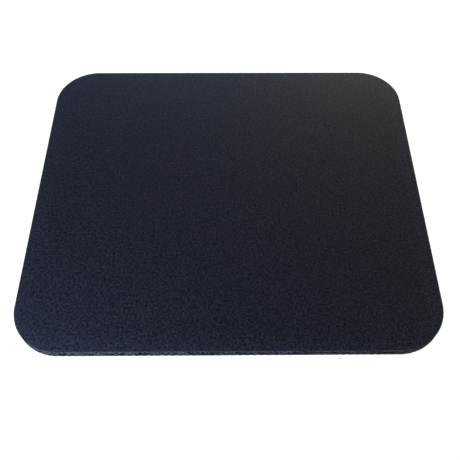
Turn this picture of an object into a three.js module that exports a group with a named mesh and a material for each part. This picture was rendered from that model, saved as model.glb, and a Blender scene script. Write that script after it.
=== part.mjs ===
// A cloth-faced mouse pad. Knitted cloth is bonded with a film of adhesive to a slab of
// sponge rubber, and the slab's underside carries a denser, moulded, non-slip skin. The
// four layers are die-cut in one stroke, so they share one outline: a rectangle with
// round corners.
//
// Millimetres. +X runs along the long side, +Y to the far edge and +Z up. The origin is
// the middle of the underside, the face that rests on the desk.

import * as THREE from 'three';

// Outline: the common 9 by 8 inch pad.
const INCH = 25.4;
const WIDTH = 9 * INCH;
const DEPTH = 8 * INCH;
const CORNER_RADIUS = 26;

// Layers, from the desk up. They add up to 5.75 mm.
const SKIN_THICKNESS = 0.75;
const CORE_THICKNESS = 4.375;
const FILM_THICKNESS = 0.125;
const CLOTH_THICKNESS = 0.5;

// three.js splits an arc into twice this many chords: 24 for each corner.
const CORNER_SEGMENTS = 12;

// The die's outline, anticlockwise from the near edge: a quarter arc at each corner,
// joined by straight edges.
function padOutline() {
  const outline = new THREE.Shape();
  const x = WIDTH / 2 - CORNER_RADIUS;
  const y = DEPTH / 2 - CORNER_RADIUS;
  const cornerCentres = [[x, -y], [x, y], [-x, y], [-x, -y]];
  cornerCentres.forEach(([cx, cy], corner) => {
    const start = (corner - 1) * Math.PI / 2;
    outline.absarc(cx, cy, CORNER_RADIUS, start, start + Math.PI / 2, false);
  });
  outline.closePath();
  return outline;
}

// One die-cut layer of the pad, lying on the layer below it.
function layer(name, underside, thickness, material) {
  const geometry = new THREE.ExtrudeGeometry(padOutline(), {
    depth: thickness,
    bevelEnabled: false,
    curveSegments: CORNER_SEGMENTS,
  });
  const mesh = new THREE.Mesh(geometry, material);
  mesh.name = name;
  mesh.position.z = underside;
  return mesh;
}

// The moulded rubber skin that grips the desk.
function gripSkin(underside) {
  const material = new THREE.MeshStandardMaterial({
    color: 0x17181b, roughness: 0.75, metalness: 0,
  });
  return layer('grip_skin', underside, SKIN_THICKNESS, material);
}

// The slab of closed-cell sponge rubber that gives the pad its give.
function foamCore(underside) {
  const material = new THREE.MeshStandardMaterial({
    color: 0x3c4149, roughness: 0.95, metalness: 0,
  });
  return layer('foam_core', underside, CORE_THICKNESS, material);
}

// The film of adhesive between the rubber and the cloth.
function bondFilm(underside) {
  const material = new THREE.MeshStandardMaterial({
    color: 0x20242c, roughness: 0.4, metalness: 0,
  });
  return layer('bond_film', underside, FILM_THICKNESS, material);
}

// The knitted polyester face that the mouse runs on.
function clothTop(underside) {
  const material = new THREE.MeshStandardMaterial({
    color: 0x232735, roughness: 0.9, metalness: 0,
  });
  return layer('cloth_top', underside, CLOTH_THICKNESS, material);
}

const mousePad = new THREE.Group();
mousePad.name = 'mouse_pad';

const coreUnderside = SKIN_THICKNESS;
const filmUnderside = coreUnderside + CORE_THICKNESS;
const clothUnderside = filmUnderside + FILM_THICKNESS;

mousePad.add(gripSkin(0));
mousePad.add(foamCore(coreUnderside));
mousePad.add(bondFilm(filmUnderside));
mousePad.add(clothTop(clothUnderside));

export default mousePad;
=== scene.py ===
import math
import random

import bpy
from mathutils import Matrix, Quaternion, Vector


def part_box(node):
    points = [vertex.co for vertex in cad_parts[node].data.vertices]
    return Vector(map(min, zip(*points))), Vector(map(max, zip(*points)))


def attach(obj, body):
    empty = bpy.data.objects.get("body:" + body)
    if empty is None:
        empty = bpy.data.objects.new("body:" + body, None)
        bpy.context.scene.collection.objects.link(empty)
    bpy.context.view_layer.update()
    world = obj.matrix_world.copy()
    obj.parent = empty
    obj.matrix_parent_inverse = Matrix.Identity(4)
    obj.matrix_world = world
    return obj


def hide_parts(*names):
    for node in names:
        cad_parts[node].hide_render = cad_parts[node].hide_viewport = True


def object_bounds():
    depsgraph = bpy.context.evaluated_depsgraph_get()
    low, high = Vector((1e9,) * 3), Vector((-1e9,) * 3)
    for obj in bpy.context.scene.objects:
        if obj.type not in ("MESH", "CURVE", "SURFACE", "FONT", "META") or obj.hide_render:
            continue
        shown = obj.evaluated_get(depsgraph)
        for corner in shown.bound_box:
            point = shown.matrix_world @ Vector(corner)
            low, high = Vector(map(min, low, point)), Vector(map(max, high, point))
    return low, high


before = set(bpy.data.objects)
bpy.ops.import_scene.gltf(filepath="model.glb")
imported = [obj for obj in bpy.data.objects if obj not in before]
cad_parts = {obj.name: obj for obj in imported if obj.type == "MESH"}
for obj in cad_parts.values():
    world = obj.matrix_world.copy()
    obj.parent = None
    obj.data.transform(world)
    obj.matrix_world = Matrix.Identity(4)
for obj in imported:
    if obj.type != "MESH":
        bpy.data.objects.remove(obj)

# A cloth-faced mouse pad on a white table. The pieces, from the table up, are the
# moulded rubber skin with its waffle underside, the slab of sponge rubber with its torn
# cut side, the film of glue, the knitted cloth, and the ends of its cut yarns.
# Metres, in the frame's axes: X along the long side, Y to the far edge, Z up.

CAD_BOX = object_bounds()
MM = 0.001

# The die's outline.
WIDTH = CAD_BOX[1].x - CAD_BOX[0].x
DEPTH = CAD_BOX[1].y - CAD_BOX[0].y
CORNER_RADIUS = 26 * MM
STRAIGHT_X = WIDTH - 2 * CORNER_RADIUS
STRAIGHT_Y = DEPTH - 2 * CORNER_RADIUS
CORNER_STEPS = 48  # edges round each corner, unless a piece needs finer ones


# ---------------------------------------------------------------- modelling by hand


def put_down():
    """Nothing selected and nothing in edit mode."""
    if bpy.context.object and bpy.context.object.mode != "OBJECT":
        bpy.ops.object.mode_set(mode="OBJECT")
    bpy.ops.object.select_all(action="DESELECT")


def take_up(piece):
    """Makes a piece the only one selected, and the active one."""
    put_down()
    piece.select_set(True)
    bpy.context.view_layer.objects.active = piece


def named(name):
    """Names the piece in hand, and gives it back."""
    piece = bpy.context.object
    piece.name = name
    piece.data.name = name
    return piece


def edit(piece, mode="FACE"):
    """Opens a piece in edit mode, to pick its faces, edges or vertices."""
    take_up(piece)
    bpy.ops.object.mode_set(mode="EDIT")
    bpy.ops.mesh.select_mode(type=mode)


def choose(piece, kind, wanted):
    """Selects, in edit mode, the faces, edges or vertices for which wanted is true."""
    bpy.ops.mesh.select_all(action="DESELECT")
    bpy.ops.object.mode_set(mode="OBJECT")
    for part in getattr(piece.data, kind):
        part.select = bool(wanted(part))
    bpy.ops.object.mode_set(mode="EDIT")


def add_modifier(piece, kind, **settings):
    """Puts one more modifier, with its settings, on a piece."""
    modifier = piece.modifiers.new(kind.lower(), kind)
    for key, value in settings.items():
        setattr(modifier, key, value)


def apply_modifiers(piece):
    """Works all of a piece's modifiers into its mesh, in their order."""
    take_up(piece)
    for modifier in list(piece.modifiers):
        bpy.ops.object.modifier_apply(modifier=modifier.name)


def settle(piece):
    """Puts a finished piece's place into its mesh, with its faces pointing outwards."""
    take_up(piece)
    bpy.ops.object.transform_apply(location=True, rotation=True, scale=True)
    edit(piece)
    bpy.ops.mesh.select_all(action="SELECT")
    bpy.ops.mesh.normals_make_consistent(inside=False)
    put_down()


def smooth(piece, angle):
    """Shades a piece smooth, except where faces meet at more than the angle."""
    take_up(piece)
    bpy.ops.object.shade_smooth_by_angle(angle=math.radians(angle))


def divide_long_edges(piece, longest, parts):
    """Divides, in edit mode, the edges longer than the longest into equal parts."""
    points = piece.data.vertices
    bpy.ops.mesh.select_mode(type="EDGE")
    choose(piece, "edges", lambda edge: (
        points[edge.vertices[0]].co - points[edge.vertices[1]].co).length > longest)
    bpy.ops.mesh.subdivide(number_cuts=parts - 1)


def die_cut_face(name, height, corner_steps, side_steps=1, inset=0.0):
    """The die's outline as one face at a height: a rectangle with its corners rounded."""
    put_down()
    bpy.ops.mesh.primitive_plane_add(size=1, location=(0, 0, height))
    bpy.ops.transform.resize(value=(WIDTH - 2 * inset, DEPTH - 2 * inset, 1))
    bpy.ops.object.transform_apply(location=True, rotation=False, scale=True)
    piece = named(name)
    edit(piece, "VERT")
    bpy.ops.mesh.select_all(action="SELECT")
    bpy.ops.mesh.bevel(
        offset=CORNER_RADIUS - inset, segments=corner_steps, affect="VERTICES"
    )
    if side_steps > 1:
        divide_long_edges(piece, STRAIGHT_X / 2, side_steps)
    put_down()
    return piece


def extrude_up(piece, height, steps=1, lean=None):
    """Pulls a flat piece up into a slab, in equal steps, and stays in edit mode. lean
    gives how far its outline stands out at each share of the height."""
    edit(piece)
    bpy.ops.mesh.select_all(action="SELECT")
    out = lean(0) if lean else 0
    for step in range(1, steps + 1):
        bpy.ops.mesh.extrude_region_move(
            TRANSFORM_OT_translate={"value": (0, 0, height / steps)}
        )
        if lean:
            grown = lean(step / steps) - out
            out += grown
            wider = (1 + 2 * grown / WIDTH, 1 + 2 * grown / DEPTH, 1)
            bpy.ops.transform.resize(value=wider, center_override=(0, 0, 0))


def weigh(piece, name, weight, low, high):
    """A vertex group whose weight follows a point's share of the piece's height."""
    group = piece.vertex_groups.new(name=name)
    rows = {}
    for point in piece.data.vertices:
        rows.setdefault(round((point.co.z - low) / (high - low), 3), []).append(point.index)
    for share, points in rows.items():
        group.add(points, weight(share), "REPLACE")
    return group.name


def noise_pattern(name, kind, size, cut_off=None, **settings):
    """A solid pattern for Displace. With cut_off it is 0 below the first of its two
    levels and 1 above the second."""
    pattern = bpy.data.textures.new(name, kind)
    pattern.noise_scale = size
    if cut_off:
        pattern.use_color_ramp = True
        for stop, level, grey in zip(pattern.color_ramp.elements, cut_off, (0, 1)):
            stop.position = level
            stop.color = (grey, grey, grey, 1)
    for key, value in settings.items():
        setattr(pattern, key, value)
    return pattern


# ---------------------------------------------------------------- finishes


class Value:
    """A shader socket in arithmetic: an expression on values adds its Math nodes."""

    def __init__(self, finish, socket):
        self.finish = finish
        self.socket = socket

    def maths(self, operation, *terms):
        return self.finish.node("ShaderNodeMath", {"operation": operation}, terms)

    def __add__(self, other):
        return self.maths("ADD", self, other)

    def __radd__(self, other):
        return self.maths("ADD", other, self)

    def __sub__(self, other):
        return self.maths("SUBTRACT", self, other)

    def __rsub__(self, other):
        return self.maths("SUBTRACT", other, self)

    def __mul__(self, other):
        return self.maths("MULTIPLY", self, other)

    def __rmul__(self, other):
        return self.maths("MULTIPLY", other, self)

    def __truediv__(self, other):
        return self.maths("DIVIDE", self, other)

    def __rtruediv__(self, other):
        return self.maths("DIVIDE", other, self)

    def __pow__(self, other):
        return self.maths("POWER", self, other)

    def __abs__(self):
        return self.maths("ABSOLUTE", self)

    def fraction(self):
        return self.maths("FRACT", self)

    def floor(self):
        return self.maths("FLOOR", self)

    def over(self, least):
        return self.maths("MAXIMUM", self, least)

    def under(self, most):
        return self.maths("MINIMUM", self, most)

    def ramp(self, start, end):
        """0 before start, 1 past end, and smooth between them."""
        settings = {"interpolation_type": "SMOOTHSTEP"}
        return self.finish.node(
            "ShaderNodeMapRange", settings, {0: self, 1: start, 2: end, 3: 0.0, 4: 1.0}
        )


class Finish:
    """One material, drawn as nodes."""

    def __init__(self, name, **fixed):
        self.material = bpy.data.materials.new(name)
        self.material.use_nodes = True
        self.tree = self.material.node_tree
        self.shader = self.tree.nodes["Principled BSDF"]
        for key, value in fixed.items():
            self.shader.inputs[key.replace("_", " ")].default_value = value

    def node(self, kind, settings=None, inputs=(), output=0):
        """A new node's output, with its settings made and its sockets filled or linked."""
        made = self.tree.nodes.new(kind)
        for key, value in (settings or {}).items():
            setattr(made, key, value)
        filled = inputs.items() if isinstance(inputs, dict) else enumerate(inputs)
        for key, value in filled:
            self.feed(made.inputs[key], value)
        return Value(self, made.outputs[output])

    def feed(self, socket, value):
        if isinstance(value, Value):
            self.tree.links.new(value.socket, socket)
        else:
            socket.default_value = value

    def place(self):
        return self.node("ShaderNodeTexCoord", output="Object")

    def axes(self, place):
        return [self.node("ShaderNodeSeparateXYZ", None, [place], k) for k in range(3)]

    def noise(self, place, size, detail=2.0, across="3D"):
        """Soft random patches. Across 2D they ignore the height of a point."""
        settings = {"noise_dimensions": across}
        inputs = {"Vector": place, "Scale": 1 / size, "Detail": detail}
        return self.node("ShaderNodeTexNoise", settings, inputs, "Fac")

    def cells(self, place, size):
        inputs = {"Vector": place, "Scale": 1 / size}
        return self.node("ShaderNodeTexVoronoi", None, inputs, "Distance")

    def mix(self, share, first, second):
        settings = {"data_type": "RGBA"}
        return self.node("ShaderNodeMix", settings, {0: share, 6: first, 7: second}, 2)

    def bump(self, height, depth):
        inputs = {"Height": height, "Distance": depth, "Strength": 1.0}
        return self.node("ShaderNodeBump", None, inputs, "Normal")

    def show(self, **surface):
        """Links what changes over the surface to the shader, and gives the material."""
        for key, value in surface.items():
            self.feed(self.shader.inputs[key.replace("_", " ")], value)
        return self.material


def depth_in_side(finish, x, y):
    """How far a point lies inside the die's outline, in metres, near the cut side."""
    past_x = (abs(x) - STRAIGHT_X / 2).over(0.0)
    past_y = (abs(y) - STRAIGHT_Y / 2).over(0.0)
    reach = (past_x * past_x + past_y * past_y) ** 0.5
    return CORNER_RADIUS - reach


WALE = 0.56 * MM  # one column of stitches
COURSE = 0.44 * MM  # one row of stitches
RIM_HIGHLIGHT_REACH = 14 * MM  # how far in from the cut side the painted highlight reaches


def knitted_cloth():
    """Black polyester jersey: columns of V stitches, with a faint blue cast. Towards the
    cut side the cloth is painted paler, a painted highlight for the light its edges catch."""
    cloth = Finish(
        "knitted_cloth",
        Specular_IOR_Level=0.05,
        Sheen_Weight=0.04,
        Sheen_Roughness=0.4,
    )
    place = cloth.place()
    x, y, _ = cloth.axes(place)
    wander = cloth.noise(place, 3 * MM, across="2D") - 0.5
    columns = x / WALE + wander * 0.5
    lean = abs(columns.fraction() - 0.5) * 2
    rows = y / COURSE + lean * 0.9 + wander * 0.7
    yarn = 1 - (rows.fraction() * 2 - 1) ** 2.0
    leg = 1 - abs(lean - 0.5) * 2
    stitch = yarn * (leg * 0.7 + 0.3)
    loop = cloth.node("ShaderNodeCombineXYZ", None, [columns.floor(), rows.floor(), 0.0])
    glint = cloth.node("ShaderNodeTexWhiteNoise", {"noise_dimensions": "2D"}, [loop])
    fuzz = cloth.noise(place, 1.25 * MM, 0.0, "2D")
    patch = cloth.noise(place, 7 * MM, across="2D")
    light = stitch * 0.3 + glint * 0.2 + (fuzz - 0.5) * 0.64 + (patch - 0.5) * 0.12 + 0.11
    # painted highlight: the cloth is painted up to 30 % paler towards the cut side, where
    # its edges catch more light
    rim_highlight = 1 - depth_in_side(cloth, x, y).ramp(0.0, RIM_HIGHLIGHT_REACH)
    shade = (light * (rim_highlight * 0.3 + 1)).over(0.0).under(1.0)
    colour = cloth.mix(shade, (0.0008, 0.0010, 0.0019, 1), (0.0236, 0.0257, 0.0475, 1))
    relief = stitch * 0.7 + fuzz * 0.35
    return cloth.show(
        Base_Color=colour,
        Roughness=0.95 - stitch * 0.15,
        Normal=cloth.bump(relief, 0.09 * MM),
    )


def cut_yarn():
    """Bare yarn ends, dark and pale by turns."""
    yarn = Finish("cut_yarn", Specular_IOR_Level=0.05, Sheen_Weight=0.03)
    tone = yarn.noise(yarn.place(), 1.2 * MM, 1.0).ramp(0.35, 0.65)
    colour = yarn.mix(tone, (0.002, 0.002, 0.003, 1), (0.024, 0.025, 0.030, 1))
    return yarn.show(Base_Color=colour, Roughness=0.9 - tone * 0.2)


def sponge_rubber():
    """Cut sponge rubber: dark grey walls, mottled, with painted shade that turns it black
    down in the holes.
    """
    sponge = Finish("sponge_rubber", Specular_IOR_Level=0.02)
    place = sponge.place()
    x, y, _ = sponge.axes(place)
    # painted shade: the deeper a point lies inside the outline, down in the holes, the
    # darker it is painted
    hole_shade = depth_in_side(sponge, x, y).ramp(0.2 * MM, 0.5 * MM)
    pores = sponge.cells(place, 0.45 * MM)
    mottle = sponge.noise(place, 0.95 * MM, 2.0)
    light = ((1 - hole_shade) * 0.9 + (mottle - 0.5) * 5.4 - 0.26).over(0.0).under(1.0)
    colour = sponge.mix(light, (0.0004, 0.0004, 0.0006, 1), (0.0290, 0.0315, 0.0395, 1))
    relief = pores.under(0.6) + mottle * 0.3
    return sponge.show(
        Base_Color=colour,
        Roughness=0.95 - light * 0.15,
        Normal=sponge.bump(relief, 0.12 * MM),
    )


def grip_rubber():
    """Moulded black rubber with a faint skin texture."""
    rubber = Finish("grip_rubber", Specular_IOR_Level=0.4)
    place = rubber.place()
    grain = rubber.noise(place, 0.35 * MM, 3.0)
    bloom = rubber.noise(place, 9 * MM, 2.0)
    colour = rubber.mix(bloom, (0.010, 0.0105, 0.012, 1), (0.024, 0.025, 0.028, 1))
    return rubber.show(
        Base_Color=colour,
        Roughness=0.62 + bloom * 0.2,
        Normal=rubber.bump(grain, 0.03 * MM),
    )


def cured_glue():
    """The dull edge of the glue film."""
    glue = Finish("cured_glue", Specular_IOR_Level=0.5)
    place = glue.place()
    ripple = glue.noise(place, 0.6 * MM, 2.0)
    colour = glue.mix(ripple, (0.010, 0.012, 0.017, 1), (0.05, 0.055, 0.07, 1))
    return glue.show(
        Base_Color=colour,
        Roughness=0.35 + ripple * 0.3,
        Normal=glue.bump(ripple, 0.04 * MM),
    )


def finish_piece(piece, material, nodes):
    """Gives a piece its material, hides the parts of the frame that it stands for, and
    hangs it on the root body.
    """
    piece.data.materials.clear()
    piece.data.materials.append(material)
    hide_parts(*nodes)
    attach(piece, "root")


# ---------------------------------------------------------------- pieces


def cut_with(cutter, piece):
    """Keeps what of a piece lies inside the cutter, and takes the cutter away."""
    add_modifier(
        piece, "BOOLEAN", operation="INTERSECT", object=cutter, solver="MANIFOLD"
    )
    apply_modifiers(piece)
    bpy.data.objects.remove(cutter)
    settle(piece)


def outline_cutter(low, top, rounded=0.0):
    """A block of the die's outline, from below a layer up to the top, whose upper rim
    may be rounded."""
    cutter = die_cut_face("cutter", low - MM, CORNER_STEPS)
    extrude_up(cutter, top - low + MM)
    if rounded:
        bpy.ops.mesh.region_to_loop()
        bpy.ops.mesh.bevel(offset=rounded, segments=4, affect="EDGES")
    settle(cutter)
    return cutter


def waffle_base():
    """The moulded skin: square pockets in its underside, cut off at the outline."""
    low, high = (corner.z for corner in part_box("grip_skin"))
    pitch = 2.6 * MM
    rib = 0.45 * MM
    pocket_depth = 0.35 * MM
    floor_share = 0.7  # a pocket's floor is narrower than its mouth
    turned = math.radians(47)
    across = math.ceil((WIDTH + DEPTH) / math.sqrt(2) / pitch) + 2
    put_down()
    bpy.ops.mesh.primitive_plane_add(size=pitch, location=(0, 0, low))
    skin = named("waffle_base")
    bpy.ops.object.transform_apply(location=True, rotation=False, scale=False)
    edit(skin)
    bpy.ops.mesh.select_all(action="SELECT")
    bpy.ops.mesh.inset(thickness=rib, depth=0)
    bpy.ops.mesh.extrude_region_move(
        TRANSFORM_OT_translate={"value": (0, 0, pocket_depth)}
    )
    bpy.ops.transform.resize(value=(floor_share, floor_share, 1))
    for axis in range(2):
        step = [0.0, 0.0, 0.0]
        step[axis] = pitch
        add_modifier(
            skin, "ARRAY", count=across, use_relative_offset=False,
            use_constant_offset=True, constant_offset_displace=step,
            use_merge_vertices=True, merge_threshold=0.01 * MM,
        )
        apply_modifiers(skin)
    middle = (across - 1) * pitch / 2
    edit(skin, "EDGE")
    bpy.ops.mesh.select_all(action="SELECT")
    bpy.ops.transform.translate(value=(-middle, -middle, 0))
    bpy.ops.transform.rotate(value=turned, orient_axis="Z", center_override=(0, 0, 0))
    bpy.ops.mesh.select_all(action="DESELECT")
    bpy.ops.mesh.select_non_manifold(
        extend=False, use_wire=False, use_boundary=True, use_multi_face=False,
        use_non_contiguous=False, use_verts=False,
    )
    bpy.ops.mesh.extrude_edges_move(
        TRANSFORM_OT_translate={"value": (0, 0, high - low)}
    )
    bpy.ops.mesh.edge_face_add()
    settle(skin)
    cut_with(outline_cutter(low, high + MM), skin)
    smooth(skin, 25)
    finish_piece(skin, grip_rubber(), ["grip_skin"])


def sponge_slab():
    """The sponge rubber: a block of the outline whose side the die has torn open, with
    large holes low down, and lumps and broken cells between the rims."""
    low, high = (corner.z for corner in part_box("foam_core"))
    top_inset = 0.08 * MM
    tuck = 0.18 * MM  # the side leans in towards the table
    fine = 0.19 * MM  # the size of a face on the side
    rows = 19
    corner_arc = 41 * MM  # the length of one rounded corner
    side_parts = 30
    slab = die_cut_face(
        "sponge_slab", low, round(corner_arc / fine), side_parts, top_inset + tuck
    )
    edit(slab, "EDGE")
    divide_long_edges(slab, 4 * fine, round(STRAIGHT_X / side_parts / fine))
    extrude_up(slab, high - low, rows, lambda h: -top_inset - tuck * (1 - h) ** 2)
    settle(slab)
    cells = noise_pattern("broken_cells", "VORONOI", 0.7 * MM)
    holes = noise_pattern("holes", "VORONOI", 1.9 * MM, cut_off=(0.12, 0.36))
    lumps = noise_pattern("lumps", "CLOUDS", 0.9 * MM, noise_depth=1)
    away_from_rims = weigh(slab, "side", lambda h: min(1, 4 * h, 4 * (1 - h)), low, high)
    low_down = weigh(
        slab, "low_down", lambda h: min(1, 8 * h) * max(0, 1 - h) ** 0.5, low, high
    )
    for pattern, depth, level, group in (
        (holes, 0.9 * MM, 1.0, low_down),
        (lumps, 0.45 * MM, 0.7, away_from_rims),
        (cells, 0.4 * MM, 0.75, away_from_rims),
    ):
        add_modifier(
            slab, "DISPLACE", texture=pattern, texture_coords="LOCAL",
            direction="NORMAL", strength=depth, mid_level=level, vertex_group=group,
        )
    apply_modifiers(slab)
    slab.vertex_groups.clear()
    smooth(slab, 60)
    finish_piece(slab, sponge_rubber(), ["foam_core"])


def glue_line():
    """The film of glue, set back a little under the cloth's rim."""
    low, high = (corner.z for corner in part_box("bond_film"))
    set_back = 0.10 * MM
    film = die_cut_face(
        "glue_line", low, corner_steps=60, side_steps=90, inset=set_back
    )
    extrude_up(film, high - low)
    settle(film)
    smooth(film, 60)
    finish_piece(film, cured_glue(), ["bond_film"])


def knit_face():
    """The knitted cloth: it follows the sponge's slight unevenness, and the die has
    pressed its rim round."""
    low, high = (corner.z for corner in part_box("cloth_top"))
    round_over = 0.42 * MM
    uneven = 0.045 * MM
    mesh_size = 1.5 * MM
    spare = 4 * MM  # cut away by the die
    put_down()
    bpy.ops.mesh.primitive_grid_add(
        x_subdivisions=round(WIDTH / mesh_size), y_subdivisions=round(DEPTH / mesh_size),
        size=1, location=(0, 0, high - uneven),
    )
    bpy.ops.transform.resize(value=(WIDTH + spare, DEPTH + spare, 1))
    bpy.ops.object.transform_apply(location=True, rotation=False, scale=True)
    cloth = named("knit_face")
    swell = noise_pattern("swell", "CLOUDS", 6 * MM, noise_depth=1)
    add_modifier(
        cloth, "DISPLACE", texture=swell, texture_coords="LOCAL", direction="Z",
        strength=2 * uneven, mid_level=0.5,
    )
    apply_modifiers(cloth)
    edit(cloth, "EDGE")
    bpy.ops.mesh.select_all(action="SELECT")
    bpy.ops.mesh.region_to_loop()
    bpy.ops.mesh.extrude_edges_move(TRANSFORM_OT_translate={"value": (0, 0, low - high)})
    bpy.ops.transform.resize(value=(1, 1, 0), center_override=(0, 0, low))
    bpy.ops.mesh.edge_face_add()
    settle(cloth)
    cut_with(outline_cutter(low, high, rounded=round_over), cloth)
    smooth(cloth, 60)
    finish_piece(cloth, knitted_cloth(), ["cloth_top"])
    return cloth


def yarn_end(at, height, reach, slant, radius):
    """One cut yarn: a stub that leaves the rim, turns down a little and tapers."""
    inside = 0.25 * MM
    droop = 0.25  # how far it falls for its reach
    bpy.ops.mesh.primitive_cylinder_add(
        vertices=6, radius=radius, depth=inside,
        location=(at, inside / 2, height), rotation=(math.pi / 2, 0, 0),
    )
    stub = bpy.context.object
    edit(stub)
    choose(stub, "polygons", lambda face: face.normal.z > 0.9)
    for share, thinner in ((0.6, 0.95), (0.4, 0.6)):  # of its reach, and of its radius
        move = (slant * reach * share, -reach * share, -droop * reach * share)
        bpy.ops.mesh.extrude_region_move(TRANSFORM_OT_translate={"value": move})
        bpy.ops.transform.resize(value=(thinner, 1, thinner))
    put_down()
    return stub


def cut_yarns():
    """The knit's cut yarns, all round the rim: one short row of them, laid end to end
    along the outline."""
    low, high = (corner.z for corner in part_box("cloth_top"))
    spacing = 0.5 * MM
    in_a_row = 18
    draw = random.Random(5)
    stubs = [
        yarn_end(
            at=(k + draw.uniform(-0.3, 0.3)) * spacing,
            height=draw.uniform(low + 0.06 * MM, high - 0.2 * MM),
            reach=draw.uniform(0.05, 0.34) * MM,
            slant=draw.uniform(-0.8, 0.8),
            radius=draw.uniform(0.05, 0.09) * MM,
        )
        for k in range(in_a_row)
    ]
    put_down()
    for stub in stubs:
        stub.select_set(True)
    bpy.context.view_layer.objects.active = stubs[0]
    bpy.ops.object.join()
    yarns = named("cut_yarns")
    bpy.ops.object.transform_apply(location=True, rotation=True, scale=True)
    set_back = 0.04 * MM
    rim = die_cut_face("rim_line", 0, CORNER_STEPS, inset=set_back)
    edit(rim)
    bpy.ops.mesh.select_all(action="SELECT")
    bpy.ops.mesh.delete(type="ONLY_FACE")
    take_up(rim)
    bpy.ops.object.convert(target="CURVE")
    rim = bpy.context.object
    add_modifier(
        yarns, "ARRAY", fit_type="FIT_CURVE", curve=rim, use_relative_offset=False,
        use_constant_offset=True, constant_offset_displace=(in_a_row * spacing, 0, 0),
    )
    add_modifier(yarns, "CURVE", object=rim, deform_axis="POS_X")
    apply_modifiers(yarns)
    bpy.data.objects.remove(rim)
    settle(yarns)
    smooth(yarns, 60)
    finish_piece(yarns, cut_yarn(), ["cloth_top"])
    return yarns


# ---------------------------------------------------------------- studio


def camera():
    """A hand-held camera above the near edge, looking down at the pad."""
    azimuth = math.radians(-0.92)
    elevation = math.radians(57.13)
    roll = math.radians(0.54)
    distance = 359.1 * MM
    target = Vector((3.67 * MM, -24.15 * MM, 0))
    back = Vector((
        math.sin(azimuth) * math.cos(elevation),
        -math.cos(azimuth) * math.cos(elevation),
        math.sin(elevation),
    ))
    put_down()
    bpy.ops.object.camera_add(location=target + back * distance)
    eye = bpy.context.object
    eye.rotation_mode = "QUATERNION"
    level = (-back).to_track_quat("-Z", "Y")
    eye.rotation_quaternion = level @ Quaternion((0, 0, 1), roll)
    eye.data.sensor_width = 36
    eye.data.lens = 47.89
    eye.data.shift_x = -0.0115
    eye.data.clip_start = 10 * MM
    bpy.context.scene.camera = eye


def soft_light(name, bearing, lift, distance, size, power, colour):
    """A square soft lamp beside the table, aimed at the middle of the pad. Its bearing
    is in degrees from the far side, clockwise, and its lift in degrees above the table."""
    turn = math.radians(bearing)
    rise = math.radians(lift)
    aim = Vector((
        math.sin(turn) * math.cos(rise), math.cos(turn) * math.cos(rise), math.sin(rise),
    ))
    put_down()
    bpy.ops.object.light_add(type="AREA", location=aim * distance)
    lamp = bpy.context.object
    lamp.name = name
    lamp.data.size = size
    lamp.data.energy = power
    lamp.data.color = colour
    lamp.visible_camera = False
    lamp.rotation_mode = "QUATERNION"
    lamp.rotation_quaternion = aim.to_track_quat("Z", "Y")


def white_table():
    """A plain white table top that glows a little, as on a light box."""
    put_down()
    bpy.ops.mesh.primitive_plane_add(size=8, location=(0, 0, -0.05 * MM))
    table = named("white_table")
    white = Finish(
        "white_table",
        Base_Color=(0.2, 0.2, 0.2, 1),
        Roughness=0.9,
        Specular_IOR_Level=0.0,
        Emission_Color=(1, 1, 1, 1),
        Emission_Strength=0.95,
    )
    table.data.materials.append(white.material)


ROOM_LIGHT = 0.05


def white_room():
    """A white background that lights the pad far less than it shows."""
    world = bpy.data.worlds.new("white_room")
    world.use_nodes = True
    room = world.node_tree
    glow = room.nodes["Background"]
    glow.inputs["Color"].default_value = (1, 1, 1, 1)
    seen = room.nodes.new("ShaderNodeLightPath")
    brightness = room.nodes.new("ShaderNodeMapRange")
    brightness.inputs["To Min"].default_value = ROOM_LIGHT
    brightness.inputs["To Max"].default_value = 1.0
    room.links.new(seen.outputs["Is Camera Ray"], brightness.inputs["Value"])
    room.links.new(brightness.outputs["Result"], glow.inputs["Strength"])
    bpy.context.scene.world = world


def studio():
    """The white table and room, and six soft lamps low round the pad: cool ones to the
    left and warm ones to the right."""
    scene = bpy.context.scene
    scene.view_settings.view_transform = "Standard"
    scene.view_settings.look = "None"
    white_room()
    white_table()
    near, far = 270 * MM, 330 * MM
    small, large = 100 * MM, 150 * MM
    soft_light("far_window", -10, 7, near, small, 1.2, (0.62, 0.78, 1.0))
    soft_light("near_left", -145, 9, far, large, 4.2, (0.75, 0.86, 0.98))
    soft_light("far_left", -60, 7, near, small, 0.46, (0.6, 0.62, 1.0))
    soft_light("far_right", 30, 7, near, small, 1.3, (1.0, 0.97, 0.65))
    soft_light("right", 75, 7, near, small, 0.35, (1.0, 0.95, 0.6))
    soft_light("near_right", 120, 7, 290 * MM, small, 0.5, (1.0, 0.95, 0.6))


waffle_base()
sponge_slab()
glue_line()
cloth = knit_face()
yarns = cut_yarns()
studio()
camera()
